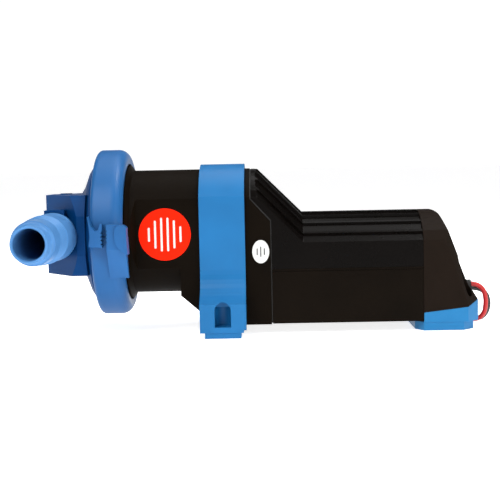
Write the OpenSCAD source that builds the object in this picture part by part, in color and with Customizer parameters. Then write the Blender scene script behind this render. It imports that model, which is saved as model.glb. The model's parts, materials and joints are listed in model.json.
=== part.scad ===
// Electric diaphragm bilge pump: head with two hosetails, clamp ring, gearbox, motor and feet.
// Origin: underside of the front feet, midway between them. +X runs to the motor end, +Z is up.
// Heights inside modules are measured from the pump axis, which on_axis() puts in place.

/* [Stance] */
// Height of the pump axis above the surface that the feet stand on
axis_h = 74.5; // [74.5:0.5:76]
// Distance from the pump axis down to the motor axis, which is the worm gear's centre distance
motor_drop = 27.3; // [27.3:0.1:27.5]

/* [Body] */
// Radius of the round pump barrel
barrel_r = 46.2; // [45.8:0.1:46.4]
// Half width between the flats on the body's sides
flat_y = 38.7; // [38.4:0.1:38.9]
// Wall thickness of the moulded body
wall = 3.2; // [2.8:0.1:3.4]
// Depth of the body's underside below the pump axis
body_drop = 67.8; // [67:0.1:68]

/* [Head] */
// Radius of the two flanges that the clamp ring holds together
flange_r = 57.5; // [57.2:0.1:57.6]
// Half height of the valve chest
chest_z = 29.3; // [28.5:0.1:30]
// Left end of the valve chest
chest_x = -132.4; // [-133:0.1:-132]
// Position of the hosetail axis along the pump
port_x = -121; // [-121.5:0.5:-120.5]
// Distance of a hosetail's tip from the middle plane
tip_y = 132; // [118:1:136]
// Radius of a hosetail's bore
hose_bore_r = 10.5; // [10:0.1:10.8]

/* [Clamp ring] */
// Outer radius of the clamp ring
ring_r = 62.1; // [61.5:0.1:62.5]
// Left face of the clamp ring
ring_x0 = -93.2; // [-93.3:0.1:-93]
// Right face of the clamp ring
ring_x1 = -70.6; // [-70.8:0.1:-70.4]

/* [Drive] */
// Number of teeth on the worm wheel, turned one tooth by each turn of the worm
wheel_teeth = 25; // [25:1:25]
// Pitch radius of the worm wheel
wheel_r = 20; // [19.9:0.1:20]
// Throw of the two eccentric cams
throw = 5; // [4:0.5:5]
// Position of the crank axle along the pump
crank_x = -8; // [-9:0.5:-7]

/* [Motor housing] */
// Left end of the motor housing's straight part
housing_x0 = 35; // [35:0.5:35.5]
// Right end of the motor housing
housing_x1 = 145.8; // [145:0.1:146]
// Height of the housing's top above the pump axis
housing_top = 12.8; // [12.5:0.1:13]
// Radius of the housing's arched top
arch_r = 48; // [47.5:0.5:48.5]
// Depth of the housing's underside below the pump axis
housing_drop = 67.3; // [67:0.1:67.5]

/* [Feet] */
// Length of the strap along the pump
strap_len = 33; // [30:1:34]
// Half width of the front feet
foot_y = 60; // [58:0.5:61]
// Clear radius of a mounting screw hole
screw_r = 2.75; // [2.5:0.05:3]
// Distance of a rear mounting hole from the middle plane
rear_hole_y = 31; // [30.5:0.5:31.5]
// Distance of the rear mounting holes from the front feet
rear_hole_x = 176.5; // [176:0.5:177]

/* [Wires] */
// Outer diameter of each wire
wire_d = 3.6; // [3.4:0.1:3.6]

/* [Hidden] */
fine = 96;
gap = 0.3;
eps = 0.01;
big = 400;
strap_x = strap_len / 2;
flare_x = -31;
flare_z = -45.5;
flare_foot_x = -5.4;
rear_step = [[20.3, 24], [34.5, 8.3]];
mesh_depth = 1.4;
worm_r = motor_drop - wheel_r;
worm_pitch = 2 * PI * wheel_r / wheel_teeth;
head_face = -84.3;
body_face = -79;
plate_r = 24;
valve_x = -109.5;
valve_t = 4;
valve_y = 16;
socket_end = 50;
collar_end = 56;
hinge_y = ring_r + 3.6;
knuckle_upper = [-88.4, -76.6];
knuckles_lower = [[-93.4, -88.7], [-76.3, -71]];
slope_foot_x = 59;
cap_line = [[160, -2.4], [180.3, -43.3], [186.7, -53]];
coil_r = 20;
red_coil = [104, 74];
red_turns = 2.6;
black_coil = [158, 74];
black_turns = 3.1;
exit_z = 28;

// ---- Helpers ----

// Moves children up to the pump axis
module on_axis() {
    translate([0, 0, axis_h]) children();
}

// Moves children up to the motor axis
module on_motor_axis() {
    translate([0, 0, axis_h - motor_drop]) children();
}

// Solid of revolution about the X axis, from [x, radius] points
module turned(outline) {
    rotate([0, 90, 0]) rotate_extrude($fn = fine) polygon([for (p = outline) [p[1], p[0]]]);
}

// Straight cylinder along X
module bar_x(x0, x1, r, y = 0, z = 0) {
    translate([x0, y, z]) rotate([0, 90, 0]) cylinder(h = x1 - x0, r = r, $fn = fine);
}

// Straight cylinder along Y
module bar_y(y0, y1, r, x = 0, z = 0) {
    translate([x, y1, z]) rotate([90, 0, 0]) cylinder(h = y1 - y0, r = r, $fn = fine);
}

// Straight cylinder along Z
module bar_z(z0, z1, r, x = 0, y = 0) {
    translate([x, y, z0]) cylinder(h = z1 - z0, r = r, $fn = fine);
}

// Box from two opposite corners
module block(a, b) {
    translate(a) cube(b - a);
}

// Side-view outline of [x, z] points, swept across the width
module side_shape(outline, y0, y1) {
    translate([0, y1, 0]) rotate([90, 0, 0]) linear_extrude(y1 - y0) polygon(outline);
}

// Plan-view outline of [x, y] points, swept upwards
module plan_shape(outline, z0, z1) {
    translate([0, 0, z0]) linear_extrude(z1 - z0) polygon(outline);
}

// End-view outline, given as 2D children in [y, z], swept along X
module end_shape(x0, x1) {
    translate([x0, 0, 0]) rotate([90, 0, 90]) linear_extrude(x1 - x0) children();
}

// Children and their mirror image across the middle plane
module both_sides() {
    children();
    mirror([0, 1, 0]) children();
}

// Points along an arc
function arc(centre, r, a0, a1, steps) = [
    for (i = [0:steps]) centre + r * [cos(a0 + (a1 - a0) * i / steps), sin(a0 + (a1 - a0) * i / steps)]
];

// ---- Pump head, on the head side of the flanges ----

// Plan outline of the valve chest, drawn in by d on its walls
function chest_plan(d) = let(x = chest_x + d, y = 16.7 - 0.45 * d, back = -98) concat(
    arc([x + 3, y - 3], 3, 142, 180, 3),
    arc([x + 3, 3 - y], 3, 180, 218, 3),
    [[-104 + d * 0.6, 1.8 * d - socket_end], [back, 1.8 * d - socket_end]],
    [[back, socket_end - 1.8 * d], [-104 + d * 0.6, socket_end - 1.8 * d]]
);

// Rounded slab of the chest
module chest_solid(d) {
    intersection() {
        plan_shape(chest_plan(d), -chest_z + d, chest_z - d);
        bar_x(-140, -90, 52 - d);
    }
}

// Bowl and flange of the head, closed at the valve plate
module head_bowl() {
    turned(concat(
        [[head_face, 0], [head_face, flange_r], [-90.7, flange_r], [-90.7, 51.2]],
        [[-95.8, 51.2], [-98.6, 47], [-101, 41], [-103.2, 35.7], [-105.6, 32], [-107, 0]]
    ));
}

// Room above the diaphragm
module pump_chamber() {
    turned([[head_face + 1, 0], [head_face + 1, 52], [-88, 52], [-95, 47], [-99, 36], [-102, 29], [-102, 0]]);
    block([valve_x + valve_t + 0.1, -32, -13.5], [-100, 32, 13.5]);
}

// Water way of one side: chest pocket, socket bore and valve port
module side_passage() {
    plan_shape([[-128.9, 3], [-128.9, 15.5], [-117, 31.5], [valve_x, 34], [valve_x, 3]], 4 - chest_z, chest_z - 4);
    bar_y(12, socket_end + 1, hose_bore_r, port_x);
    bar_y(36, socket_end + 1, 13, port_x);
    bar_x(valve_x - 2, -100, 9, valve_y);
}

// Raised locking lug on top of a hose socket, with its slot
module socket_lug() {
    difference() {
        plan_shape(
            [[port_x - 6, 34], [port_x + 8, 34], [port_x + 8, 48.5], [port_x + 3, socket_end], [port_x - 6, socket_end]],
            12, 19
        );
        block([port_x - 3.5, 42, 17.4], [port_x + 3.5, 44.5, 20]);
    }
}

module pump_head() {
    color("#2f7fc4") on_axis() difference() {
        union() {
            head_bowl();
            chest_solid(0);
            both_sides() bar_y(20, socket_end, 16.2, port_x);
            both_sides() socket_lug();
            plan_shape([[-124, -1], [-118, -1], [-118, -2.5], [-115, 0], [-118, 2.5], [-118, 1], [-124, 1]],
                chest_z - 1, chest_z + 0.8);
        }
        pump_chamber();
        both_sides() side_passage();
    }
}

// One hosetail pointing along +Y, from its tip inwards
module hosetail() {
    s = tip_y;
    ridges = [for (i = [0:4]) each [
        [15.7 + 0.18 * i, s - 31 - 4 * i], [16.3 + 0.18 * i, s - 32 - 4 * i], [15.8 + 0.18 * i, s - 34 - 4 * i]
    ]];
    outline = concat(
        [[hose_bore_r + 0.6, s], [12.1, s], [12.5, s - 0.8], [12.5, s - 10]],
        arc([15, s - 10], 2.5, 180, 270, 5),
        [[15.1, s - 14.5], [15.4, s - 30]],
        ridges,
        [[16.7, s - 52], [16.8, collar_end + 1.5], [17.3, collar_end], [17.3, socket_end + gap]],
        [[12.7, socket_end + gap], [12.7, 45.6], [11.6, 45.6], [11.6, 42.6], [12.7, 42.6], [12.7, 37]],
        [[hose_bore_r, 37], [hose_bore_r, s - 1]]
    );
    difference() {
        translate([port_x, 0, 0]) rotate([-90, 0, 0]) rotate_extrude($fn = fine) polygon(outline);
        for (i = [0:5]) translate([port_x, 0, 0]) rotate([0, 28 + 7 * i, 0])
            block([16.7, 49, -0.45], [20, collar_end - 2, 0.45]);
    }
}

// Seal in the groove of a hosetail that points along +Y
module o_ring() {
    translate([port_x, 44.1, 0]) rotate([90, 0, 0]) rotate_extrude($fn = fine)
        translate([12.3, 0]) circle(r = 0.68, $fn = 24);
}

module outlet_hosetail() {
    color("#3f8fd6") on_axis() hosetail();
}

module inlet_hosetail() {
    color("#3f8fd6") on_axis() mirror([0, 1, 0]) hosetail();
}

module outlet_o_ring() {
    color("#202020") on_axis() o_ring();
}

module inlet_o_ring() {
    color("#202020") on_axis() mirror([0, 1, 0]) o_ring();
}

// Flap disc with its hinge barrel, lying against a face at x = 0 and opening towards +X
module flap() {
    bar_x(gap, 2.6, 11.3, 0);
    bar_x(2.5, 4, 8.5, 0);
    block([gap, 9, -4.5], [2.6, 13.2, 4.5]);
    bar_z(-6.5, 6.5, 1.3, 1.6, 13.2);
    bar_z(-8, 8, 0.72, 1.6, 13.2);
}

// The two clips that hold a flap's hinge barrel
module flap_clip() {
    for (s = [-1, 1]) difference() {
        block([0, 11, s * 7.5 - 0.7], [3.8, 15.4, s * 7.5 + 0.7]);
        bar_z(-9, 9, 0.8, 1.6, 13.2);
    }
}

// Places a flap part for the outlet, which opens into the chest
module at_outlet() {
    translate([valve_x, valve_y, 0]) mirror([1, 0, 0]) children();
}

// Places a flap part for the inlet, which opens into the pump chamber
module at_inlet() {
    translate([valve_x + valve_t + 0.1, -valve_y, 0]) mirror([0, 1, 0]) children();
}

module outlet_flap() {
    color("#242424") on_axis() at_outlet() flap();
}

module inlet_flap() {
    color("#242424") on_axis() at_inlet() flap();
}

module flap_clips() {
    color("#2f7fc4") on_axis() {
        at_outlet() flap_clip();
        at_inlet() flap_clip();
    }
}

// ---- Clamp ring ----

// Whole ring, open inwards as a channel around the two flanges
module ring_channel() {
    inner_l = 51.9;
    inner_r = 51.5;
    seat = flange_r + gap;
    turned(concat(
        [[ring_x0, inner_l]],
        arc([ring_x0 + 3.5, ring_r - 3.5], 3.5, 180, 90, 5),
        arc([ring_x1 - 7.5, ring_r - 8], 8, 90, 12, 7),
        [[ring_x1, inner_r], [-73.4, inner_r], [-73.4, seat], [-91, seat], [-91, inner_l]]
    ));
}

// One knuckle with the web that joins it to the ring, on the upper (s = 1) or lower (s = -1) side
module knuckle_web(x0, x1, s) {
    bar_x(x0, x1, 4, hinge_y, 0);
    end_shape(x0, x1) polygon([
        [hinge_y - 3, -s], [hinge_y + 2.5, s], [hinge_y - 2.6, 16 * s], [hinge_y - 8, 20 * s], [hinge_y - 6, s]
    ]);
}

// Room for the other half's knuckle, from x0 to x1
module knuckle_room(x0, x1) {
    bar_x(x0, x1, 4.4, hinge_y, 0);
    block([x0, hinge_y - 3.2, -12], [x1, hinge_y + 9, 12]);
}

// One half of the ring channel, above (s = 1) or below (s = -1) the split
module ring_half(s) {
    difference() {
        ring_channel();
        translate([-200, -big / 2, s > 0 ? gap - big : -gap]) cube(big);
    }
}

module clamp_ring_upper() {
    color("#4a86c8") on_axis() difference() {
        union() {
            difference() {
                ring_half(1);
                for (x = knuckles_lower) knuckle_room(x[0] - gap, x[1] + gap);
            }
            knuckle_web(knuckle_upper[0], knuckle_upper[1], 1);
            latch_hook();
        }
        bar_x(-96, -68, 1.6, hinge_y, 0);
    }
}

// Hook that comes down from the upper half over the lower half, on the near side
module latch_hook() {
    difference() {
        side_shape([
            [-93.1, 14.7], [-90.5, 7.6], [-88, 4.6], [-85.4, 5.5], [-84.4, 9.5], [-82.8, 9.5],
            [-83.2, 4.2], [-83.2, -7.2], [-92.6, -6.6], [-91.6, 0], [-92, 7]
        ], -69.6, -55);
        bar_x(-98, -60, ring_r + 0.7);
        for (i = [0:3]) block([-84, -70, 2.6 - 2.6 * i], [-83, -62, 3.6 - 2.6 * i]);
    }
    side_shape([[-91.8, 2], [-91.4, 7], [-88, 4.4], [-84.8, 5], [-83.6, 7], [-83.6, 1.5], [-88, 1]], -66, -59);
}

module clamp_ring_lower() {
    color("#4a86c8") on_axis() difference() {
        union() {
            difference() {
                ring_half(-1);
                knuckle_room(knuckle_upper[0] - gap, knuckle_upper[1] + gap);
            }
            for (x = knuckles_lower) knuckle_web(x[0], x[1], -1);
            latch_lug();
        }
        bar_x(-96, -68, 1.6, hinge_y, 0);
    }
}

// Lug with its thumb pad, which stands up from the lower half beside the hook
module latch_lug() {
    difference() {
        union() {
            intersection() {
                side_shape([[-80, 9], [-71, 9], [-66.5, 6], [-66.5, -30], [-80, -30]], -69.5, -40);
                end_shape(-90, -60) polygon([[-69.5, 9.5], [-69.5, -9], [-52, -36], [-40, -20], [-60, 9.5]]);
            }
            side_shape(concat(
                arc([-69.6, 4], 4.6, 180, 30, 8),
                [[-65.6, -2], [-65.1, -12.5], [-69, -10.5], [-73, -6.5], [-74.2, -2]]
            ), -71, -60);
        }
        difference() {
            bar_x(-98, -60, ring_r + 0.35);
            translate([-200, -big / 2, -gap - big]) cube(big);
        }
        bar_x(-98, -60, ring_r - 1.5);
        for (i = [0:3]) block([-80.2, -70, 3.9 - 2.6 * i], [-79.3, -62, 4.9 - 2.6 * i]);
    }
}

module clamp_hinge_pin() {
    color("#b8bcc0") on_axis() {
        bar_x(-94, -70.4, 1.55, hinge_y, 0);
        bar_x(-95, -94, 2.6, hinge_y, 0);
    }
}

// ---- Diaphragm and yoke ----

module diaphragm() {
    t = 2.4;
    x = -82.9;
    color("#303030") on_axis() turned(concat(
        [[head_face + gap, 57], [head_face + gap, 52.5], [x, 51]],
        arc([x, 39.5], 8.5, 90, -90, 12),
        [[x, plate_r + 0.5], [x + t, plate_r + 0.5]],
        arc([x + t, 39.5], 8.5 + t * 0.6, -90, 90, 12),
        [[body_face, 53], [body_face, 57]]
    ));
}

module diaphragm_front_plate() {
    color("#d9d9d2") on_axis() difference() {
        turned([[-82.5, 0], [-82.5, plate_r], [-84, plate_r], [-86, 18], [-87, 10], [-87, 0]]);
        bar_x(-90, -84.6, 4.6);
        bar_x(-90, -80, 2.5);
    }
}

module diaphragm_back_plate() {
    color("#d9d9d2") on_axis() difference() {
        turned([[-82.5, 0], [-82.5, plate_r], [-79.5, plate_r], [-77, 14], [-74, 9], [-74, 0]]);
        bar_x(-90, -70, 2.5);
    }
}

module diaphragm_screw() {
    color("#c0c4c8") on_axis() difference() {
        union() {
            bar_x(-87.4, -84.6, 4.5);
            bar_x(-84.7, -62, 2.45);
        }
        bar_x(-88, -86, 2);
    }
}

// Push rod, bridge and the two slotted frames that straddle the worm wheel
module yoke() {
    slot_x = 13.1;
    slot_z = 17.6;
    color("#e4e2da") on_axis() difference() {
        union() {
            bar_x(-74, -41, 7);
            block([-42.5, -12.3, -20.4], [-37.5, 12.3, 21]);
            both_sides() block([-42.5, 6.9, -20.4], [crank_x + slot_x + 4, 12.3, 21]);
        }
        bar_x(-80, -61, 2.5);
        block([crank_x - slot_x, -20, -slot_z], [crank_x + slot_x, 20, slot_z]);
    }
}

// Bush in the body's front wall that guides the push rod
module yoke_guide() {
    color("#b08d4a") on_axis() difference() {
        union() {
            bar_x(-64, -50, 9.5);
            bar_x(-61, -60, 11);
        }
        bar_x(-65, -49, 7.08);
    }
}

// ---- Crank and worm gear ----

module crank_axle() {
    color("#c8ccd0") on_axis() {
        bar_y(-29.5, 29.5, 4, crank_x);
        bar_y(-6.4, 6.4, 5, crank_x);
    }
}

// Cam discs at rest: each centre stands straight above the axle
module eccentric_cams() {
    color("#9aa0a6") on_axis() both_sides() difference() {
        union() {
            bar_y(6.9, 12.3, 10.5, crank_x, throw);
            bar_y(12.3, 16, 7, crank_x);
        }
        bar_y(6, 20, 4, crank_x);
    }
}

module cam_bushes() {
    color("#b08d4a") on_axis() both_sides() difference() {
        bar_y(6.9, 12.3, 12, crank_x, throw);
        bar_y(6, 13, 10.5, crank_x, throw);
    }
}

module worm_wheel() {
    tip = wheel_r - 0.2;
    steps = wheel_teeth * 12;
    color("#d8c48a") on_axis() difference() {
        union() {
            translate([crank_x, 3.5, 0]) rotate([90, 0, 0]) linear_extrude(7) polygon([
                for (i = [0:steps - 1]) let(a = 360 * i / steps, r = tip - mesh_depth * cos(a * wheel_teeth))
                    r * [sin(a), -cos(a)]
            ]);
            bar_y(-6.4, 6.4, 9, crank_x);
        }
        bar_y(-8, 8, 5, crank_x);
        for (i = [0:5]) translate([crank_x, 0, 0]) rotate([0, 60 * i, 0]) bar_y(-8, 8, 2.6, 13);
    }
}

module axle_bushes() {
    color("#b08d4a") on_axis() both_sides() difference() {
        union() {
            bar_y(24, 30, 6.5, crank_x);
            bar_y(22.5, 24, 8, crank_x);
        }
        bar_y(20, 31, 4.06, crank_x);
    }
}

// Single-start worm with rounded threads, in mesh with the wheel at rest
module worm() {
    len = 4 * worm_pitch;
    color("#a8adb2") on_motor_axis() {
        difference() {
            translate([crank_x - len / 2, 0, 0]) rotate([0, 90, 0]) rotate([0, 0, 180])
                linear_extrude(height = len, twist = 360 * 4, slices = 64)
                    translate([mesh_depth, 0]) circle(r = worm_r - 0.2, $fn = 20);
            bar_x(crank_x - len, crank_x + len, 3);
        }
        difference() {
            bar_x(crank_x + len / 2, crank_x + len / 2 + 5, 5);
            bar_x(crank_x, crank_x + len, 3);
        }
    }
}

// ---- Motor, turned about its own axis ----

module armature_shaft() {
    color("#c8ccd0") on_motor_axis() {
        bar_x(-28, 134, 3);
        bar_x(44, 126, 4);
    }
}

module armature_core() {
    slots = 12;
    color("#6d7276") on_motor_axis() difference() {
        bar_x(52, 100, 24);
        bar_x(50, 102, 4);
        for (i = [0:slots - 1]) rotate([360 / slots * i, 0, 0]) {
            block([50, -0.9, 15], [102, 0.9, 26]);
            bar_x(50, 102, 2.6, 0, 17.5);
        }
    }
}

module armature_windings() {
    color("#b5652d") on_motor_axis() for (x = [46, 100]) difference() {
        turned([[x + 0.1, 8], [x + 0.1, 19], [x + 1.5, 21.5], [x + 4.5, 21.5], [x + 5.9, 19], [x + 5.9, 8]]);
        bar_x(x - 1, x + 8, 4);
    }
}

module commutator() {
    bars = 12;
    color("#c77b45") on_motor_axis() difference() {
        bar_x(108, 120, 9);
        bar_x(106, 122, 4);
        for (i = [0:bars - 1]) rotate([360 / bars * i, 0, 0]) block([107, -0.3, 8.2], [121, 0.3, 10]);
    }
}

module brushes() {
    color("#2b2b2e") on_motor_axis() both_sides() difference() {
        block([110, 7, -3.5], [118, 19, 3.5]);
        bar_x(100, 130, 9.3);
    }
}

module brush_springs() {
    color("#b8bcc0") on_motor_axis() both_sides() difference() {
        bar_y(19.2, 26, 2.8, 114);
        bar_y(18, 27, 2.1, 114);
    }
}

// Moulded plate that carries the brush boxes
module brush_plate() {
    color("#7a4a2a") on_motor_axis() {
        difference() {
            bar_x(121.5, 124.5, 29.6);
            bar_x(120, 126, 10);
        }
        both_sides() difference() {
            block([108.5, 11, -5], [121.6, 27.5, 5]);
            block([109.7, 8, -3.8], [118.3, 26.2, 3.8]);
        }
    }
}

module motor_magnets() {
    color("#3a3d40") on_motor_axis() difference() {
        bar_x(50, 104, 29.9);
        bar_x(49, 105, 24.8);
        for (s = [0, 180]) rotate([s, 0, 0])
            end_shape(49, 105) polygon([[0, 0], [40, 34], [40, -34]]);
    }
}

module motor_can() {
    color("#a9adb0") on_motor_axis() difference() {
        bar_x(42, 128, 32);
        bar_x(41, 129, 30);
    }
}

module motor_front_bell() {
    color("#b9bdc0") on_motor_axis() difference() {
        union() {
            bar_x(39, 42, 32);
            bar_x(42, 45, 30);
            bar_x(32, 39, 22);
            bar_x(30, 32, 12);
        }
        bar_x(39, 46, 8);
        bar_x(29, 46, 4.2);
        for (s = [-1, 1]) bar_x(31, 43, 2, 0, s * 18);
    }
}

module motor_rear_bell() {
    color("#b9bdc0") on_motor_axis() difference() {
        union() {
            bar_x(128, 131, 32);
            bar_x(125, 128, 30);
            bar_x(131, 137, 12);
        }
        bar_x(124, 135, 8);
    }
}

// Two ball bearings, each drawn as its outer and inner ring
module motor_bearings() {
    color("#d0d4d8") on_motor_axis() for (x = [39, 128.5]) difference() {
        bar_x(x, x + 5, 8);
        bar_x(x - 1, x + 6, 3.05);
    }
}

module motor_screws() {
    color("#c0c4c8") on_motor_axis() for (s = [-1, 1]) {
        bar_x(28, 42, 1.95, 0, s * 18);
        bar_x(25.5, 28, 3.6, 0, s * 18);
    }
}

// ---- Gear carrier inside the body ----

module gear_carrier() {
    color("#8e9296") on_axis() difference() {
        union() {
            both_sides() side_shape(
                [[-20, -12], [-20, 12], [4, 12], [31, -8], [31, -51], [-16, -51], [-27, -40], [-27, -30]], 24, 29);
            block([28, -29, -51], [32, 29, -4]);
            block([-27, -29, -40], [-22, 29, -21.4]);
            block([-15, -29, -54], [31, 29, -50]);
            both_sides() block([6, 26, -58], [31, 35.2, -50]);
        }
        both_sides() bar_y(22, 31, 6.5, crank_x);
        bar_x(27, 33, 12.2, 0, -motor_drop);
        bar_x(-28, -21, 5, 0, -motor_drop);
        for (s = [-1, 1]) bar_x(27, 33, 2, 0, s * 18 - motor_drop);
        both_sides() for (x = [12, 25]) {
            bar_z(-60, -49, 2, x, 31.5);
            bar_z(-50, -46, 3.6, x, 31.5);
        }
    }
}

module carrier_screws() {
    color("#c0c4c8") on_axis() both_sides() for (x = [12, 25]) {
        bar_z(-64, -50, 1.95, x, 31.5);
        bar_z(-50, -47.5, 3.2, x, 31.5);
    }
}

module worm_bush() {
    color("#b08d4a") on_motor_axis() difference() {
        bar_x(-27, -22, 5);
        bar_x(-29, -21, 3.06);
    }
}

// ---- Body ----

// Tombstone outline: round top of radius r, flat sides at w, flat bottom at -drop
module tombstone(r, w, drop) {
    intersection() {
        circle(r = r, $fn = fine);
        translate([-w, 0]) square([2 * w, r]);
    }
    translate([-w, -drop]) square([2 * w, drop]);
}

// Cuts the barrel's flats, with a short ramp where they meet the flange
module flat_cut(w, x0) {
    both_sides() plan_shape([[x0, w + 8], [x0 + 4.5, w], [60, w], [60, 90], [x0, 90]], -90, 90);
}

module body_outside() {
    difference() {
        turned(concat(
            [[body_face, 0], [body_face, flange_r], [-74, flange_r], [-74, 50.2], [-69.5, 50.2]],
            [[-66.7, barrel_r], [-20, barrel_r], [-20, 0]]
        ));
        flat_cut(flat_y, -66.8);
    }
    intersection() {
        end_shape(flare_x, 60) tombstone(barrel_r, flat_y, body_drop);
        side_shape(concat(
            [[flare_x, 80], [20.3, 80]], rear_step, [[housing_x0, 8], [housing_x0, -body_drop]],
            [[flare_foot_x, -body_drop], [flare_x, flare_z]]
        ), -90, 90);
    }
}

module body_inside() {
    difference() {
        turned([[body_face - 1, 0], [body_face - 1, 51], [-75, 51], [-70, 45], [-64, 45], [-64, 0]]);
        block([-66, -60, -60], [-60, 60, 60]);
    }
    difference() {
        bar_x(-61, -25, barrel_r - wall);
        flat_cut(flat_y - wall, -66);
    }
    intersection() {
        end_shape(-28, 60) tombstone(barrel_r - wall, flat_y - wall, body_drop - wall);
        side_shape([[-28, 80], [80, 80], [80, -body_drop], [-4, wall - body_drop], [-28, -44]], -90, 90);
    }
    bar_x(-67, -60, 9.5);
}

module body_housing() {
    color("#26241f") on_axis() {
        difference() {
            body_outside();
            body_inside();
        }
        both_sides() for (x = [12, 25]) difference() {
            bar_z(-body_drop + 1, -58, 4, x, 31.5);
            bar_z(-65, -57, 1.95, x, 31.5);
        }
    }
}

// Rim outline shared by the gasket and the housing's front edge
module housing_gasket() {
    t = 0.8;
    color("#101010") on_axis() difference() {
        intersection() {
            end_shape(15, 60) tombstone(barrel_r - 0.6, flat_y - 0.6, housing_drop - 0.6);
            side_shape(concat(
                [[20.3, 80], [20.3, 24]], [[34.5, 8.3], [housing_x0, 8], [housing_x0, -90]],
                [[housing_x0 + t, -90], [housing_x0 + t, 8.4], [20.3 + t, 24.4], [20.3 + t, 80]]
            ), -90, 90);
        }
        end_shape(10, 60) tombstone(barrel_r - wall, flat_y - wall, body_drop - wall);
    }
}

// ---- Motor housing ----

// Arched outline in [y, z] with lengthwise ridges when ridged; d draws the walls in,
// and k squashes the heights for the part that climbs
function housing_outline(d, k, ridged) = let(
    r = arch_r - d,
    c = housing_top - arch_r,
    w = flat_y - d,
    side = -8.3 - d * 0.4,
    groove = 1.6,
    crest = 1.1,
    flank = 0.6,
    arch = ridged
        ? [for (a = [45, 58.3, 71.6, 84.9, 95.1, 108.4, 121.7, 135]) each [
            [r - groove, a - crest - flank], [r, a - crest], [r, a + crest], [r - groove, a + crest + flank]
        ]]
        : [for (i = [0:12]) [r, 45 + 7.5 * i]]
) [for (p = concat(
    [[w, -170], [w, side]],
    [for (q = arch) [q[0] * cos(q[1]), c + q[0] * sin(q[1])]],
    [[-w, side], [-w, -170]]
)) [p[0], p[1] * k]];

// Housing's solid: a straight part and a part that climbs at 45 degrees, mitred where they meet
module housing_form(d, ridged, x_end) {
    bend = slope_foot_x;
    low = -housing_drop + d;
    intersection() {
        end_shape(bend - 1, x_end) polygon(housing_outline(d, 1, ridged));
        block([bend, -60, low], [x_end + 1, 60, 60]);
    }
    intersection() {
        translate([bend, 0, 0]) rotate([0, 45, 0]) end_shape(-90, 70)
            polygon(housing_outline(d, sqrt(0.5), ridged));
        side_shape([
            [bend, low], [bend, 60], [21.1, 60], [21.1, 24.4], [housing_x0 + 0.8, 8.4], [housing_x0 + 0.8, low]
        ], -60, 60);
        end_shape(15, 65) polygon(concat(
            [[50, -80], [50, 10]], arc([0, 0], barrel_r - 0.3 - d, 20, 160, 20), [[-50, 10], [-50, -80]]
        ));
    }
}

module housing_shell() {
    difference() {
        housing_form(0, true, housing_x1);
        housing_form(2.8, false, housing_x1 + 5);
    }
}

module housing_cover() {
    color("#15130f") on_axis() difference() {
        housing_shell();
        block([0, -90, -90], [200, 90, -motor_drop]);
    }
}

module housing_tray() {
    rim = -motor_drop - 0.15;
    color("#1b1914") on_axis() difference() {
        block([housing_x0 + 0.8, -flat_y, -housing_drop], [housing_x1, flat_y, rim]);
        block([housing_x0, -flat_y + 2.8, 2.8 - housing_drop], [housing_x1 + 5, flat_y - 2.8, 0]);
        both_sides() block([housing_x0, flat_y - 0.5, rim - 2], [housing_x1 + 5, 90, rim - 1.2]);
    }
}

// ---- End cap and rear foot ----

// Plan outline with the two right-hand corners cut off; d draws it in
function cap_plan(d, x1) = [
    [housing_x1 + 0.2, -flat_y + d], [x1 - 8.7 - d * 0.4, -flat_y + d], [x1 - d, -flat_y + 9 + d * 0.4],
    [x1 - d, flat_y - 9 - d * 0.4], [x1 - 8.7 - d * 0.4, flat_y - d], [housing_x1 + 0.2, flat_y - d]
];

// Side outline of the cap's outside
function cap_side() = concat(
    [[housing_x1 + 0.2, -61.3], [housing_x1 + 0.2, 40], [154.5, 40]],
    arc([154.5, housing_top - 6.5], 6.5, 90, 26, 6),
    [cap_line[1], cap_line[2], [178, -57.6]]
);

// Side outline of the room inside the cap, which is open towards the motor
cap_room = [
    [housing_x1 - 2, -58.2], [housing_x1 - 2, housing_top - 2.6], [154.5, housing_top - 2.6],
    [157.2, 5], [176.4, -35.2], [176.4, -51.5], [174, -54.4]
];

// Cuts the bevel that widens down each rear corner, moved inwards by d
module cap_bevel(d) {
    both_sides() translate([160, flat_y, -2.4]) rotate([0, -12.9, 47.1]) block([-d, -60, -80], [60, 60, 60]);
}

module end_cap() {
    wt = 2.6;
    well_r = 5.5;
    color("#2b2723") on_axis() difference() {
        intersection() {
            end_shape(housing_x1 + 0.2, 200) polygon(housing_outline(0, 1, false));
            side_shape(cap_side(), -90, 90);
        }
        cap_bevel(0);
        difference() {
            intersection() {
                end_shape(housing_x1 - 2, 200) polygon(housing_outline(wt, 1, false));
                side_shape(cap_room, -60, 60);
            }
            cap_bevel(3);
            both_sides() block([rear_hole_x - well_r - 2, rear_hole_y - well_r - 2, -62], [190, 50, -30]);
            block([172, -9, -62], [190, 9, -38]);
        }
        both_sides() bar_z(-51, 0, well_r, rear_hole_x, rear_hole_y);
        both_sides() bar_z(-70, 0, screw_r, rear_hole_x, rear_hole_y);
        bar_x(160, 200, 5, 0, exit_z - axis_h);
    }
}

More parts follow.
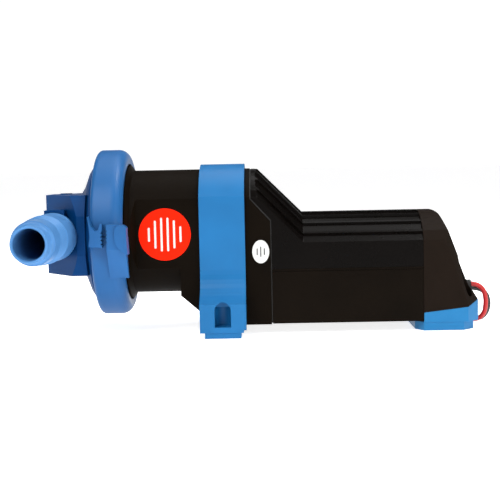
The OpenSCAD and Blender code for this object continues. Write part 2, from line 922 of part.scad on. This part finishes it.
module rear_foot() {
    top = [[housing_x1 + 0.2, -90], [housing_x1 + 0.2, -61.3], [178, -57.6], [186.7, -53], [190, -53], [190, -90]];
    step_z = 6.2 - axis_h;
    color("#1f8ad0") on_axis() difference() {
        union() {
            intersection() {
                plan_shape(cap_plan(0, 186.7), step_z, -50);
                side_shape(top, -90, 90);
            }
            plan_shape([
                [housing_x1 + 0.2, -flat_y + 0.7], [175, -flat_y + 0.7], [183, -30], [183, 30],
                [175, flat_y - 0.7], [housing_x1 + 0.2, flat_y - 0.7], [140.5, 28], [140.5, -28]
            ], -axis_h, step_z + eps);
        }
        block([housing_x1 - 8, -50, -housing_drop - 0.05], [housing_x1 + 0.2, 50, 0]);
        block([150, -24, -axis_h + 4], [172, 24, -40]);
        both_sides() bar_z(-80, -40, screw_r, rear_hole_x, rear_hole_y);
        block([175, -9.4, -56.4], [190, 9.4, -30]);
    }
}

module wire_grommet() {
    color("#141414") on_axis() translate([0, 0, exit_z - axis_h]) difference() {
        union() {
            bar_x(172, 186.5, 4.9);
            bar_x(170.5, 172, 6.5);
        }
        bar_x(170, 188, 1.85, -2, 1.9);
        bar_x(170, 188, 1.85, 2, -1.9);
    }
}

module noise_suppressor() {
    color("#2c5fa8") on_motor_axis() {
        bar_y(-9, 9, 5, 148, 10);
        both_sides() bar_y(9, 12, 0.5, 148, 10);
    }
}

// ---- Strap and feet ----

// Strap: a round arch over the barrel, and the legs that spread into the feet
module strap_solid() {
    r = 49.8;
    w = 42.2;
    intersection() {
        bar_x(-strap_x, strap_x, r);
        block([-strap_x, -w, -6], [strap_x, w, r + 1]);
    }
    end_shape(-strap_x, strap_x) polygon(concat(
        [[-w, 0], [w, 0]],
        arc([w + 22, -27], 22, 180, 242, 7),
        [[foot_y, -50], [foot_y, 4 - axis_h], [-foot_y, 4 - axis_h], [-foot_y, -50]],
        arc([-w - 22, -27], 22, -62, 0, 7)
    ));
}

// Room for the body under the strap
module strap_room() {
    w = flat_y + 0.15;
    intersection() {
        bar_x(-strap_x - 1, strap_x + 1, barrel_r + 0.15);
        block([-strap_x - 1, -w, -6], [strap_x + 1, w, barrel_r + 1]);
    }
    block([-strap_x - 1, -w, -90], [strap_x + 1, w, 0]);
}

// Arched pocket above one mounting hole, open towards the outside
module screw_pocket() {
    hole_y = foot_y - 8;
    r = 5.85;
    seat = 8 - axis_h;
    side_shape(concat([[-r, seat], [r, seat]], arc([0, seat + 12], r, 0, 180, 14)), hole_y, hole_y + 20);
    bar_z(seat, seat + 14, r - 0.2, 0, hole_y);
    bar_z(-90, seat + 1, screw_r, 0, hole_y);
}

module mounting_strap() {
    color("#3b94dc") on_axis() difference() {
        strap_solid();
        strap_room();
        both_sides() screw_pocket();
        both_sides() block([strap_x - 1.6, foot_y - 12, -80], [strap_x + 1, foot_y + 1, 6.5 - axis_h]);
    }
}

module front_foot_pads() {
    color("#2f8fd8") on_axis() both_sides() difference() {
        block([-13, foot_y - 17, -axis_h], [13, foot_y - 0.6, 4 - axis_h]);
        bar_z(-90, -60, screw_r, 0, foot_y - 8);
    }
}

// ---- Labels, plain and without lettering ----

module round_label() {
    color("#e8401c") on_axis() bar_y(-flat_y - 0.2, -flat_y, 19, -41.8, -0.5);
}

module oval_label() {
    color("#f2f2ee") on_axis() translate([27.8, -flat_y, -14.4]) rotate([90, 0, 0])
        linear_extrude(0.2) polygon([for (a = [0:12:348]) [6.2 * cos(a), 8.5 * sin(a)]]);
}

// ---- Wires ----

// Unit vector and cross product helpers for the sweep
function unit(v) = v / norm(v);
function heading(path, i) = unit(path[min(i + 1, len(path) - 1)] - path[max(i - 1, 0)]);

// Smooth curve through the route's points, with steps points between each pair
function smooth(route, steps) = [
    for (i = [0:len(route) - 2], k = [0:steps - 1]) let(
        t = k / steps,
        a = route[max(i - 1, 0)], b = route[i], c = route[i + 1], d = route[min(i + 2, len(route) - 1)]
    ) 0.5 * (2 * b + (c - a) * t + (2 * a - 5 * b + 4 * c - d) * t * t + (3 * b - a - 3 * c + d) * t * t * t),
    route[len(route) - 1]
];

// Tube of 8 sides along the points
module tube(path, r) {
    n = 8;
    count = len(path);
    points = [
        for (i = [0:count - 1]) let(
            w = heading(path, i),
            side = unit(cross(w, abs(w[2]) < 0.9 ? [0, 0, 1] : [1, 0, 0])),
            up = cross(side, w)
        ) for (k = [0:n - 1]) path[i] + r * (cos(45 * k + 22.5) * side + sin(45 * k + 22.5) * up)
    ];
    faces = concat(
        [[for (k = [0:n - 1]) k]],
        [[for (k = [n - 1:-1:0]) (count - 1) * n + k]],
        [for (i = [0:count - 2], k = [0:n - 1]) each [
            [i * n + k, (i + 1) * n + k, (i + 1) * n + (k + 1) % n],
            [i * n + k, (i + 1) * n + (k + 1) % n, i * n + (k + 1) % n]
        ]]
    );
    polyhedron(points = points, faces = faces);
}

// Routes from the grommet to the coils, in the part's own frame
red_route = [
    [186.5, -2, 30], [192, -2, 28.5], [196, -2, 24.5], [197.5, -2, 19], [197.5, -2, 13],
    [196.4, -0.9, 7.4], [193.5, 2, 3.3], [189.6, 5.9, 1.8], [186.6, 10.4, 1.8], [185.5, 15.8, 1.8],
    [185.3, 24, 1.8], [184, 33, 1.8], [178.5, 42, 1.8], [168, 47, 1.8], [150, 48.5, 1.8],
    [138, 52, 1.8], [130, 60, 1.8], [124.6, 71, 1.8]
];
black_route = [
    [186.5, 2, 26.2], [189.5, 2.2, 26.2], [195, 2.3, 24.7], [199, 2.4, 20.7], [200.6, 2.8, 14.2],
    [199.4, 4, 7.8], [196.5, 6.5, 3.3], [192.6, 10.4, 1.8], [190.4, 14, 1.8],
    [189.7, 18.5, 1.8], [189.6, 26, 1.8], [189.4, 37, 1.8], [188, 49, 1.8], [184.4, 61, 1.8],
    [178.3, 71, 1.8]
];

module red_wire() {
    color("#d83a34") tube(smooth(red_route, 3), wire_d / 2);
}

module black_wire() {
    color("#2a2a2a") tube(smooth(black_route, 3), wire_d / 2);
}

// Height of a stacked coil
function coil_h(turns) = wire_d * (turns + 1);

// Closed ring that a stacked coil fills
module coil_solid(centre, turns) {
    translate([centre[0], centre[1], 0]) rotate_extrude($fn = 48)
        translate([coil_r - wire_d / 2, 0]) square([wire_d, coil_h(turns)]);
}

module red_wire_coil() {
    color("#d83a34") coil_solid(red_coil, red_turns);
}

module black_wire_coil() {
    color("#2a2a2a") coil_solid(black_coil, black_turns);
}

// Stripped copper end that lies on the coil
module wire_end(centre, turns) {
    translate([centre[0] - 4, centre[1] - coil_r, coil_h(turns) + 1.3]) rotate([0, 90, 0])
        cylinder(h = 8, r = 1.2, $fn = 24);
}

module red_wire_end() {
    color("#c98050") wire_end(red_coil, red_turns);
}

module black_wire_end() {
    color("#c98050") wire_end(black_coil, black_turns);
}

// ---- Nodes ----

pump_head();
outlet_hosetail();
inlet_hosetail();
outlet_o_ring();
inlet_o_ring();
outlet_flap();
inlet_flap();
flap_clips();
clamp_ring_upper();
clamp_ring_lower();
clamp_hinge_pin();
diaphragm();
diaphragm_front_plate();
diaphragm_back_plate();
diaphragm_screw();
yoke();
yoke_guide();
crank_axle();
eccentric_cams();
cam_bushes();
worm_wheel();
axle_bushes();
worm();
armature_shaft();
armature_core();
armature_windings();
commutator();
brushes();
brush_springs();
brush_plate();
worm_bush();
gear_carrier();
carrier_screws();
motor_can();
motor_magnets();
motor_front_bell();
motor_rear_bell();
motor_bearings();
motor_screws();
body_housing();
housing_gasket();
housing_cover();
housing_tray();
end_cap();
wire_grommet();
noise_suppressor();
mounting_strap();
front_foot_pads();
rear_foot();
round_label();
oval_label();
red_wire();
black_wire();
red_wire_coil();
black_wire_coil();
red_wire_end();
black_wire_end();
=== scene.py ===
"""Electric diaphragm bilge pump: materials, leads, labels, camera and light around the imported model."""
import json
import math

import bmesh
import bpy
from mathutils import Matrix, Vector

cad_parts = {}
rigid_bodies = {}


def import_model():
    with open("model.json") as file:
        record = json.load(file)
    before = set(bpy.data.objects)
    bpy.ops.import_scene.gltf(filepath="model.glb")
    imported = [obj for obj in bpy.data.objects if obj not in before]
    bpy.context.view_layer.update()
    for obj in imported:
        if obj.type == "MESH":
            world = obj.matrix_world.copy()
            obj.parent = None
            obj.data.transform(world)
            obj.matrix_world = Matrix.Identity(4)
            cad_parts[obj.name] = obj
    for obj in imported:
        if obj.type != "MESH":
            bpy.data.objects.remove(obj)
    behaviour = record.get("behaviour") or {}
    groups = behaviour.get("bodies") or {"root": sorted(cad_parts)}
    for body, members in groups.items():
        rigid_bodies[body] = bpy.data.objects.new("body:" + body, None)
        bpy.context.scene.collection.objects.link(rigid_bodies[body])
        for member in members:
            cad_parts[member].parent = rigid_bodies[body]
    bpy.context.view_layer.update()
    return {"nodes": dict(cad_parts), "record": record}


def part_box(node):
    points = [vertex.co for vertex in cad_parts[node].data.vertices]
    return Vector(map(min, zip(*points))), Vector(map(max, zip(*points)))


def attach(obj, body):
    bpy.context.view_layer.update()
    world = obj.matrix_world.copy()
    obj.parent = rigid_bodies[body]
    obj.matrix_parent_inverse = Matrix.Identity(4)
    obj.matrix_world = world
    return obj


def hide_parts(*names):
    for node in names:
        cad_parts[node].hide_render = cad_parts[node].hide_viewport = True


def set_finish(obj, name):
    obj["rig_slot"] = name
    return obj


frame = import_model()

MM = 0.001
UP = Vector((0, 0, 1))
WHITE = (1, 1, 1, 1)
BLACK = (0, 0, 0, 1)


def add(name, data):
    """A new object in the scene."""
    piece = bpy.data.objects.new(name, data)
    bpy.context.scene.collection.objects.link(piece)
    return piece


def ring_spot(angle, radius=1.0):
    """The place at an angle on a level circle."""
    return Vector((math.cos(angle), math.sin(angle), 0)) * radius


# ---- Camera ----

CAMERA_PLACE = (0.0347, -0.84, 0.1216)
CAMERA_LENS = 79.6
SENSOR_WIDTH = 36
NEAR_CLIP = 0.01
PITCH_DOWN = math.radians(4.29)
YAW = math.radians(1.05)
ROLL = math.radians(-1.2)


def make_camera():
    """Long lens seen from the near side, slightly above and slightly tilted."""
    data = bpy.data.cameras.new("camera")
    data.sensor_width = SENSOR_WIDTH
    data.lens = CAMERA_LENS
    data.clip_start = NEAR_CLIP
    camera = add("camera", data)
    turn = Matrix.Rotation(YAW, 4, "Z") @ Matrix.Rotation(math.pi / 2 - PITCH_DOWN, 4, "X")
    camera.matrix_world = Matrix.Translation(CAMERA_PLACE) @ turn @ Matrix.Rotation(ROLL, 4, "Z")
    bpy.context.scene.camera = camera


# ---- Leads ----

WIRE_D = 3.6 * MM
COIL_R = 20 * MM
COIL_START = math.radians(-8.6)
WIRE_ROUNDNESS = 5
# Steps per turn of a coil, and between two given points of a lead
COIL_STEPS = 24
SMOOTH_STEPS = 6

# Routes in millimetres, lengths in metres
RED_COIL = Vector((104, 74, 0)) * MM
RED_TURNS = 2.6
RED_ROUTE = [
    (186.5, -2, 30), (192, -2, 28.5), (196, -2, 24.5), (197.5, -2, 19), (197.5, -2, 13),
    (196.4, -0.9, 7.4), (193.5, 2, 3.3), (189.6, 5.9, 1.8), (186.6, 10.4, 1.8), (185.5, 15.8, 1.8),
    (185.3, 24, 1.8), (184, 33, 1.8), (178.5, 42, 1.8), (168, 47, 1.8), (150, 48.5, 1.8),
    (138, 52, 1.8), (130, 60, 1.8),
]

BLACK_COIL = Vector((158, 74, 0)) * MM
BLACK_TURNS = 3.1
BLACK_ROUTE = [
    (186.5, 2, 26.2), (189.5, 2.2, 26.2), (195, 2.3, 24.7), (199, 2.4, 20.7), (200.6, 2.8, 14.2),
    (199.4, 4, 7.8), (196.5, 6.5, 3.3), (192.6, 10.4, 1.8), (190.4, 14, 1.8), (189.7, 18.5, 1.8),
    (189.6, 26, 1.8), (189.4, 37, 1.8), (188, 49, 1.8), (184.4, 61, 1.8),
]

STRAND_R = 0.32 * MM
STRAND_REACH = 0.72 * MM
STRANDS_OUTSIDE = 6
STRAND_STEPS = 12
STRAND_ROUNDNESS = 3
BARE_LENGTH = 8 * MM
# Turns over the bare length
TWIST = 0.5


def coil_points(centre, turns):
    """Turns that climb one wire's diameter each, from the floor up."""
    steps = int(turns * COIL_STEPS)
    points = []
    for i in range(steps + 1):
        turned = i / steps * turns
        height = WIRE_D / 2 + turned * WIRE_D
        points.append(centre + ring_spot(COIL_START + turned * math.tau, COIL_R) + UP * height)
    return points


def smooth(points):
    """Points on a smooth curve that runs through every given point."""
    line = []
    for i in range(len(points) - 1):
        a, b = points[max(i - 1, 0)], points[i]
        c, d = points[i + 1], points[min(i + 2, len(points) - 1)]
        for k in range(SMOOTH_STEPS):
            t = k / SMOOTH_STEPS
            line.append(0.5 * (2 * b + (c - a) * t + (2 * a - 5 * b + 4 * c - d) * t ** 2
                               + (3 * b - a - 3 * c + d) * t ** 3))
    return line + [points[-1]]


def tube(name, lines, radius, roundness, slot):
    """Round tubes along the lines, as one smooth mesh that rides on the pump."""
    curve = bpy.data.curves.new(name, "CURVE")
    curve.dimensions = "3D"
    curve.bevel_depth = radius
    curve.bevel_resolution = roundness
    curve.use_fill_caps = True
    for line in lines:
        spline = curve.splines.new("POLY")
        spline.points.add(len(line) - 1)
        for point, place in zip(spline.points, line):
            point.co = (*place, 1)
    carrier = add(f"{name}_line", curve)
    shape = carrier.evaluated_get(bpy.context.evaluated_depsgraph_get())
    mesh = bpy.data.meshes.new_from_object(shape)
    bpy.data.objects.remove(carrier)
    for polygon in mesh.polygons:
        polygon.use_smooth = True
    piece = add(name, mesh)
    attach(piece, "pump")
    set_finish(piece, slot)
    return piece


def lead(colour, route, centre, turns):
    """One lead: insulated wire with its stripped, twisted copper end."""
    line = smooth([Vector(p) * MM for p in route] + coil_points(centre, turns))
    piece = tube(f"{colour}_lead", [line], WIRE_D / 2, WIRE_ROUNDNESS, f"wire_{colour}")
    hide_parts(f"{colour}_wire", f"{colour}_wire_coil")
    end = strands(colour, line[-1], (line[-1] - line[-2]).normalized())


def strands(colour, start, along):
    """Twisted copper strands that stick out of a lead's end, six round one in the middle."""
    side = along.cross(UP).normalized()
    up = side.cross(along)
    lines = []
    for k in range(STRANDS_OUTSIDE + 1):
        reach = 0 if k == STRANDS_OUTSIDE else STRAND_REACH
        line = []
        for i in range(STRAND_STEPS + 1):
            share = i / STRAND_STEPS
            turn = math.tau * (k / STRANDS_OUTSIDE + TWIST * share)
            offset = side * math.cos(turn) + up * math.sin(turn)
            line.append(start + along * (BARE_LENGTH * share) + offset * reach)
        lines.append(line)
    piece = tube(f"{colour}_strands", lines, STRAND_R, STRAND_ROUNDNESS, "copper")
    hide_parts(f"{colour}_wire_end")
    return piece


# ---- Materials ----

BEVEL_SAMPLES = 4
CLOUD_LOW = 0.3
CLOUD_HIGH = 0.7
# Scale per metre and detail of each noise
CLOUDS = (28, 5)
# Patches that break up the painted edge highlight
HIGHLIGHT_PATCHES = (220, 4)
SMEARS = (55, 6)
DENTS = (45, 2)
GRAIN_DETAIL = 3
GRAIN_STRENGTH = 0.35
DENT_STRENGTH = 0.25
DENT_HEIGHT = 0.12
# Agreement of rounded and true normal, from a corner with the full painted highlight to a flat face
LIT_CORNER = 0.9
FLAT = 0.995

# How many times finer a metal's marks are along x, y and z
TURNED = (1, 1, 14)
LAMINATED = (40, 1, 1)


def linear(red, green, blue):
    """Linear colour from an 8-bit display colour."""
    def channel(value):
        share = value / 255
        return share / 12.92 if share <= 0.04045 else ((share + 0.055) / 1.055) ** 2.4
    return (channel(red), channel(green), channel(blue), 1)


def shade(colour, factor):
    """The colour, lighter or darker."""
    return (*[min(1, c * factor) for c in colour[:3]], 1)


def link(tree, source, target):
    """Joins two sockets."""
    tree.links.new(source, target)


def noise(tree, coordinates, scale, detail):
    """Noise between 0 and 1."""
    node = tree.nodes.new("ShaderNodeTexNoise")
    node.inputs["Scale"].default_value = scale
    node.inputs["Detail"].default_value = detail
    link(tree, coordinates, node.inputs["Vector"])
    return node.outputs["Fac"]


def ramp(tree, source, low, high, first, last):
    """The first colour up to low, the last from high on, and a blend between them."""
    node = tree.nodes.new("ShaderNodeValToRGB")
    node.color_ramp.elements[0].position = low
    node.color_ramp.elements[1].position = high
    node.color_ramp.elements[0].color = first
    node.color_ramp.elements[1].color = last
    link(tree, source, node.inputs["Fac"])
    return node.outputs["Color"]


def span(tree, source, low, high):
    """Maps 0-1 to low-high."""
    node = tree.nodes.new("ShaderNodeMapRange")
    node.inputs["To Min"].default_value = low
    node.inputs["To Max"].default_value = high
    link(tree, source, node.inputs["Value"])
    return node.outputs["Result"]


def bump(tree, source, normal, strength, height):
    """The normal, disturbed by a height in millimetres."""
    node = tree.nodes.new("ShaderNodeBump")
    node.inputs["Strength"].default_value = strength
    node.inputs["Distance"].default_value = height * MM
    link(tree, source, node.inputs["Height"])
    link(tree, normal, node.inputs["Normal"])
    return node.outputs["Normal"]


def corner_highlight_mask(tree, spot, rounded):
    """Patchy mask of the corners where the painted edge highlight goes, from 0 on flat faces."""
    geometry = tree.nodes.new("ShaderNodeNewGeometry")
    corner = tree.nodes.new("ShaderNodeVectorMath")
    corner.operation = "DOT_PRODUCT"
    link(tree, rounded, corner.inputs[0])
    link(tree, geometry.outputs["Normal"], corner.inputs[1])
    patchy = tree.nodes.new("ShaderNodeMath")
    patchy.operation = "MULTIPLY"
    # Painted highlight: corners are lighter where the rounded normal turns away from the true one
    link(tree, ramp(tree, corner.outputs["Value"], LIT_CORNER, FLAT, WHITE, BLACK), patchy.inputs[0])
    link(tree, noise(tree, spot, *HIGHLIGHT_PATCHES), patchy.inputs[1])
    return patchy.outputs["Value"]


def surface(name, colour, rough, spread=0.08, metal=0.0, grain=2500, grain_height=0.02,
            variation=0.1, edge=0.35, edge_highlight=1.35, specular=0.4, finer=(1, 1, 1)):
    """Moulded or machined surface: uneven colour, fine grain, small dents and rounded edges with a patchy
    painted highlight.
    """
    material = bpy.data.materials.new(name)
    material.use_nodes = True
    tree = material.node_tree
    shader = tree.nodes["Principled BSDF"]
    shader.inputs["Metallic"].default_value = metal
    shader.inputs["Specular IOR Level"].default_value = specular

    mapping = tree.nodes.new("ShaderNodeMapping")
    mapping.inputs["Scale"].default_value = finer
    link(tree, tree.nodes.new("ShaderNodeTexCoord").outputs["Object"], mapping.inputs["Vector"])
    spot = mapping.outputs["Vector"]
    bevel = tree.nodes.new("ShaderNodeBevel")
    bevel.samples = BEVEL_SAMPLES
    bevel.inputs["Radius"].default_value = edge * MM
    rounded = bevel.outputs["Normal"]

    uneven = (shade(colour, 1 - variation), shade(colour, 1 + variation))
    edge_lit = tree.nodes.new("ShaderNodeMix")
    edge_lit.data_type = "RGBA"
    link(tree, corner_highlight_mask(tree, spot, rounded), edge_lit.inputs["Factor"])
    clouds = noise(tree, spot, *CLOUDS)
    link(tree, ramp(tree, clouds, CLOUD_LOW, CLOUD_HIGH, *uneven), edge_lit.inputs["A"])
    # Painted highlight: the corners get a lighter copy of the colour
    edge_lit.inputs["B"].default_value = shade(colour, edge_highlight)
    link(tree, edge_lit.outputs["Result"], shader.inputs["Base Color"])

    smears = noise(tree, spot, *SMEARS)
    link(tree, span(tree, smears, rough - spread, rough + spread), shader.inputs["Roughness"])

    grained = bump(tree, noise(tree, spot, grain, GRAIN_DETAIL), rounded, GRAIN_STRENGTH, grain_height)
    dented = bump(tree, noise(tree, spot, *DENTS), grained, DENT_STRENGTH, DENT_HEIGHT)
    link(tree, dented, shader.inputs["Normal"])
    return material


def blue_plastics():
    """The head, hosetails, ring, strap and feet."""
    return {
        "head_blue": dict(colour=linear(2, 54, 104), rough=0.45, specular=0.07),
        "hosetail_blue": dict(colour=linear(72, 122, 174), rough=0.4, variation=0.08, specular=0.2),
        "ring_blue": dict(colour=linear(30, 86, 140), rough=0.42, specular=0.2),
        "strap_blue": dict(colour=linear(22, 97, 150), rough=0.4, variation=0.08, specular=0.18),
        "foot_blue": dict(colour=linear(26, 106, 157), rough=0.38, variation=0.08, specular=0.18),
    }


def black_plastics():
    """The housings and seals."""
    return {
        # The edge factor sets how much lighter the painted highlight on the corners is, strong on these dark
        # parts
        "body_black": dict(colour=linear(13, 8, 4), rough=0.55, grain=3200, grain_height=0.05,
                           variation=0.2, edge_highlight=2.2, specular=0.03),
        "housing_black": dict(colour=linear(6, 4, 3), rough=0.28, spread=0.07,
                              variation=0.2, edge_highlight=3, specular=0.05),
        "tray_black": dict(colour=linear(14, 9, 5), rough=0.38,
                           variation=0.18, edge_highlight=2.5, specular=0.03),
        "cap_black": dict(colour=linear(23, 16, 11), rough=0.55, grain=2800, grain_height=0.05,
                          variation=0.15, edge_highlight=2, specular=0.04),
        "seal_rubber": dict(colour=linear(28, 28, 28), rough=0.7, variation=0.15),
    }


def inner_parts():
    """The drive and the motor, and small parts of the same materials."""
    return {
        "steel": dict(colour=linear(190, 192, 195), rough=0.28, metal=1, variation=0.05, finer=TURNED),
        "acetal": dict(colour=linear(222, 219, 206), rough=0.45, variation=0.04),
        "bronze": dict(colour=linear(176, 132, 74), rough=0.4, metal=1),
        "core_iron": dict(colour=linear(96, 98, 102), rough=0.5, metal=1, variation=0.12, finer=LAMINATED),
        "copper": dict(colour=linear(200, 118, 78), rough=0.3, metal=1, variation=0.08),
        "carbon": dict(colour=linear(44, 44, 48), rough=0.6),
        "brown_phenolic": dict(colour=linear(112, 66, 34), rough=0.5, variation=0.12),
        "cast_alloy": dict(colour=linear(168, 170, 174), rough=0.48, metal=1, grain=1400, grain_height=0.06),
        "zinc_steel": dict(colour=linear(172, 176, 180), rough=0.34, metal=1, variation=0.07),
        "ferrite": dict(colour=linear(58, 58, 61), rough=0.65, variation=0.12),
        "capacitor_blue": dict(colour=linear(34, 88, 160), rough=0.25, variation=0.06),
    }


def labels_and_leads():
    """The labels, the leads' insulation and the ties."""
    return {
        "label_red": dict(colour=linear(236, 30, 0), rough=0.45, variation=0.03, edge=0.05, specular=0.06),
        "label_white": dict(colour=linear(205, 205, 200), rough=0.35, variation=0.03, edge=0.05),
        "wire_red": dict(colour=linear(178, 22, 20), rough=0.3, variation=0.06, edge=0.1),
        "wire_black": dict(colour=linear(30, 29, 28), rough=0.32, variation=0.12, edge=0.1),
    }


def paint():
    """Gives every CAD node and every new piece the material of its slot."""
    looks = blue_plastics() | black_plastics() | inner_parts() | labels_and_leads()
    materials = {name: surface(name, **look) for name, look in looks.items()}
    slots = {row["node"]: row["material_slot"] for row in frame["record"]["subparts"]}
    for name, node in frame["nodes"].items():
        node.data.materials.clear()
        node.data.materials.append(materials[slots[name]])
    for piece in bpy.data.objects:
        if "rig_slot" in piece:
            piece.data.materials.clear()
            piece.data.materials.append(materials[piece["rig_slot"]])


# ---- Printed marks, plain bars with no lettering ----

PRINT_DEPTH = 0.04 * MM
ROUND_END_STEPS = 6

# Each bar's share of the full length, then that length, the spacing and the bar's width
ROUND_PRINT = ((0.34, 0.6, 0.72, 0.72, 0.6, 0.3), 34 * MM, 4.6 * MM, 1.5 * MM)
OVAL_PRINT = ((0.5, 0.75, 0.5), 10 * MM, 2.6 * MM, 0.8 * MM)


def mesh_piece(name, builder, slot):
    """The builder's mesh as a piece that rides on the pump."""
    bmesh.ops.recalc_face_normals(builder, faces=builder.faces)
    mesh = bpy.data.meshes.new(name)
    builder.to_mesh(mesh)
    builder.free()
    piece = add(name, mesh)
    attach(piece, "pump")
    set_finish(piece, slot)


def upright_bar(builder, centre, length, width):
    """A thin upright plate with round ends, standing on the near side of the pump."""
    rim = []
    for end, first in ((1, -90), (-1, 90)):
        for k in range(ROUND_END_STEPS + 1):
            angle = math.radians(first + 180 / ROUND_END_STEPS * k)
            along = end * (length - width) / 2 + width / 2 * math.cos(angle)
            rim.append(centre + Vector((width / 2 * math.sin(angle), 0, along)))
    low = [builder.verts.new(spot) for spot in rim]
    high = [builder.verts.new(spot - Vector((0, PRINT_DEPTH, 0))) for spot in rim]
    builder.faces.new(high)
    builder.faces.new(list(reversed(low)))
    for i in range(len(rim)):
        j = (i + 1) % len(rim)
        builder.faces.new((low[i], low[j], high[j], high[i]))


def label_print(label, slot, shares, full_length, spacing, width):
    """Bars side by side on the middle of a label's near face."""
    low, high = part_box(label)
    middle = (low + high) / 2
    middle.y = low.y
    builder = bmesh.new()
    for row, share in enumerate(shares):
        across = ((len(shares) - 1) / 2 - row) * spacing
        upright_bar(builder, middle + Vector((across, 0, 0)), share * full_length, width)
    mesh_piece(f"{label}_print", builder, slot)


# ---- Ties on the coils ----

TIE_ANGLES = (math.radians(100), math.radians(190))
TIE_WIDTH = 2.6 * MM
TIE_THICK = 0.5 * MM
TIE_SLACK = 0.1 * MM
# How far a band's inside stops short of its coil's full height, at the top and at the bottom
TIE_SHORT = 0.9 * MM


def coil_tie(builder, centre, angle, height):
    """A four-sided band round one side of a coil of the given height."""
    out = ring_spot(angle)
    side = ring_spot(angle + math.pi / 2)
    middle = centre + out * COIL_R + UP * (height / 2)
    rings = []
    for offset in (-TIE_WIDTH / 2, TIE_WIDTH / 2):
        for extra in (0, TIE_THICK):
            half_w = WIRE_D / 2 + TIE_SLACK + extra
            half_h = height / 2 - TIE_SHORT + extra
            corners = ((1, 1), (-1, 1), (-1, -1), (1, -1))
            rings.append([builder.verts.new(middle + side * offset + out * u * half_w + UP * v * half_h)
                          for u, v in corners])
    near_in, near_out, far_in, far_out = rings
    for i in range(4):
        j = (i + 1) % 4
        builder.faces.new((near_in[i], near_in[j], near_out[j], near_out[i]))
        builder.faces.new((far_in[j], far_in[i], far_out[i], far_out[j]))
        builder.faces.new((near_out[i], near_out[j], far_out[j], far_out[i]))
        builder.faces.new((near_in[j], near_in[i], far_in[i], far_in[j]))


def coil_ties(colour, centre, turns):
    """Two small bands round a coil, which hold its turns together."""
    for number, angle in enumerate(TIE_ANGLES, 1):
        builder = bmesh.new()
        coil_tie(builder, centre, angle, WIRE_D * (turns + 1))
        mesh_piece(f"{colour}_coil_tie_{number}", builder, "wire_black")


# ---- Floor and light ----

FLOOR_HALF = 60
FLOOR_GRID = 8
FLOOR_DROP = 0.2 * MM
FLOOR_GLOW = 0.82
PAPER = (0.9, 0.9, 0.9, 1)

# Height of the view direction up to which the sky is white, and from which it is dark
SKY_WHITE_TO = 0.17
SKY_DARK_FROM = 0.32
SKY_DARK = (0.1, 0.1, 0.105, 1)
SKY_STRENGTH = 1.05

LIGHT_AIM = Vector((0.03, 0, 0.07))
# Name, place, size and power of each lamp
LIGHTS = (
    ("key", (-0.45, -0.9, 1.1), 0.7, 15.5),
    ("fill", (0.9, -1.0, 0.45), 0.9, 6),
    ("top", (0.1, 0.25, 1.2), 0.9, 7),
    ("glint", (0.55, 0.04, 1.06), 0.28, 7),
)


def make_floor():
    """Wide white paper with a glow of its own, so that it stays white far from the lamps."""
    mesh = bpy.data.meshes.new("floor")
    builder = bmesh.new()
    bmesh.ops.create_grid(builder, x_segments=FLOOR_GRID, y_segments=FLOOR_GRID, size=FLOOR_HALF)
    builder.to_mesh(mesh)
    builder.free()
    floor = add("floor", mesh)
    floor.location.z = -FLOOR_DROP
    paper = surface("floor", PAPER, 0.7, variation=0.01, grain_height=0.002)
    shader = paper.node_tree.nodes["Principled BSDF"]
    shader.inputs["Emission Color"].default_value = WHITE
    shader.inputs["Emission Strength"].default_value = FLOOR_GLOW
    mesh.materials.append(paper)


def make_sky():
    """White all round near the horizon and dark overhead."""
    world = bpy.data.worlds.new("studio")
    bpy.context.scene.world = world
    world.use_nodes = True
    tree = world.node_tree
    split = tree.nodes.new("ShaderNodeSeparateXYZ")
    link(tree, tree.nodes.new("ShaderNodeTexCoord").outputs["Generated"], split.inputs["Vector"])
    height = tree.nodes.new("ShaderNodeMapRange")
    height.inputs["From Min"].default_value = SKY_WHITE_TO
    height.inputs["From Max"].default_value = SKY_DARK_FROM
    link(tree, split.outputs["Z"], height.inputs["Value"])
    background = tree.nodes["Background"]
    link(tree, ramp(tree, height.outputs["Result"], 0, 1, WHITE, SKY_DARK), background.inputs["Color"])
    background.inputs["Strength"].default_value = SKY_STRENGTH


def make_lights():
    """Four lamps that all point at the pump's middle."""
    for name, place, size, power in LIGHTS:
        data = bpy.data.lights.new(name, "AREA")
        data.size = size
        data.energy = power
        light = add(name, data)
        light.location = place
        aim = LIGHT_AIM - Vector(place)
        light.rotation_euler = aim.to_track_quat("-Z", "Y").to_euler()


make_camera()
lead("red", RED_ROUTE, RED_COIL, RED_TURNS)
lead("black", BLACK_ROUTE, BLACK_COIL, BLACK_TURNS)
label_print("round_label", "label_white", *ROUND_PRINT)
label_print("oval_label", "carbon", *OVAL_PRINT)
coil_ties("red", RED_COIL, RED_TURNS)
coil_ties("black", BLACK_COIL, BLACK_TURNS)
paint()
make_floor()
make_sky()
make_lights()
bpy.context.scene.view_settings.view_transform = "Standard"
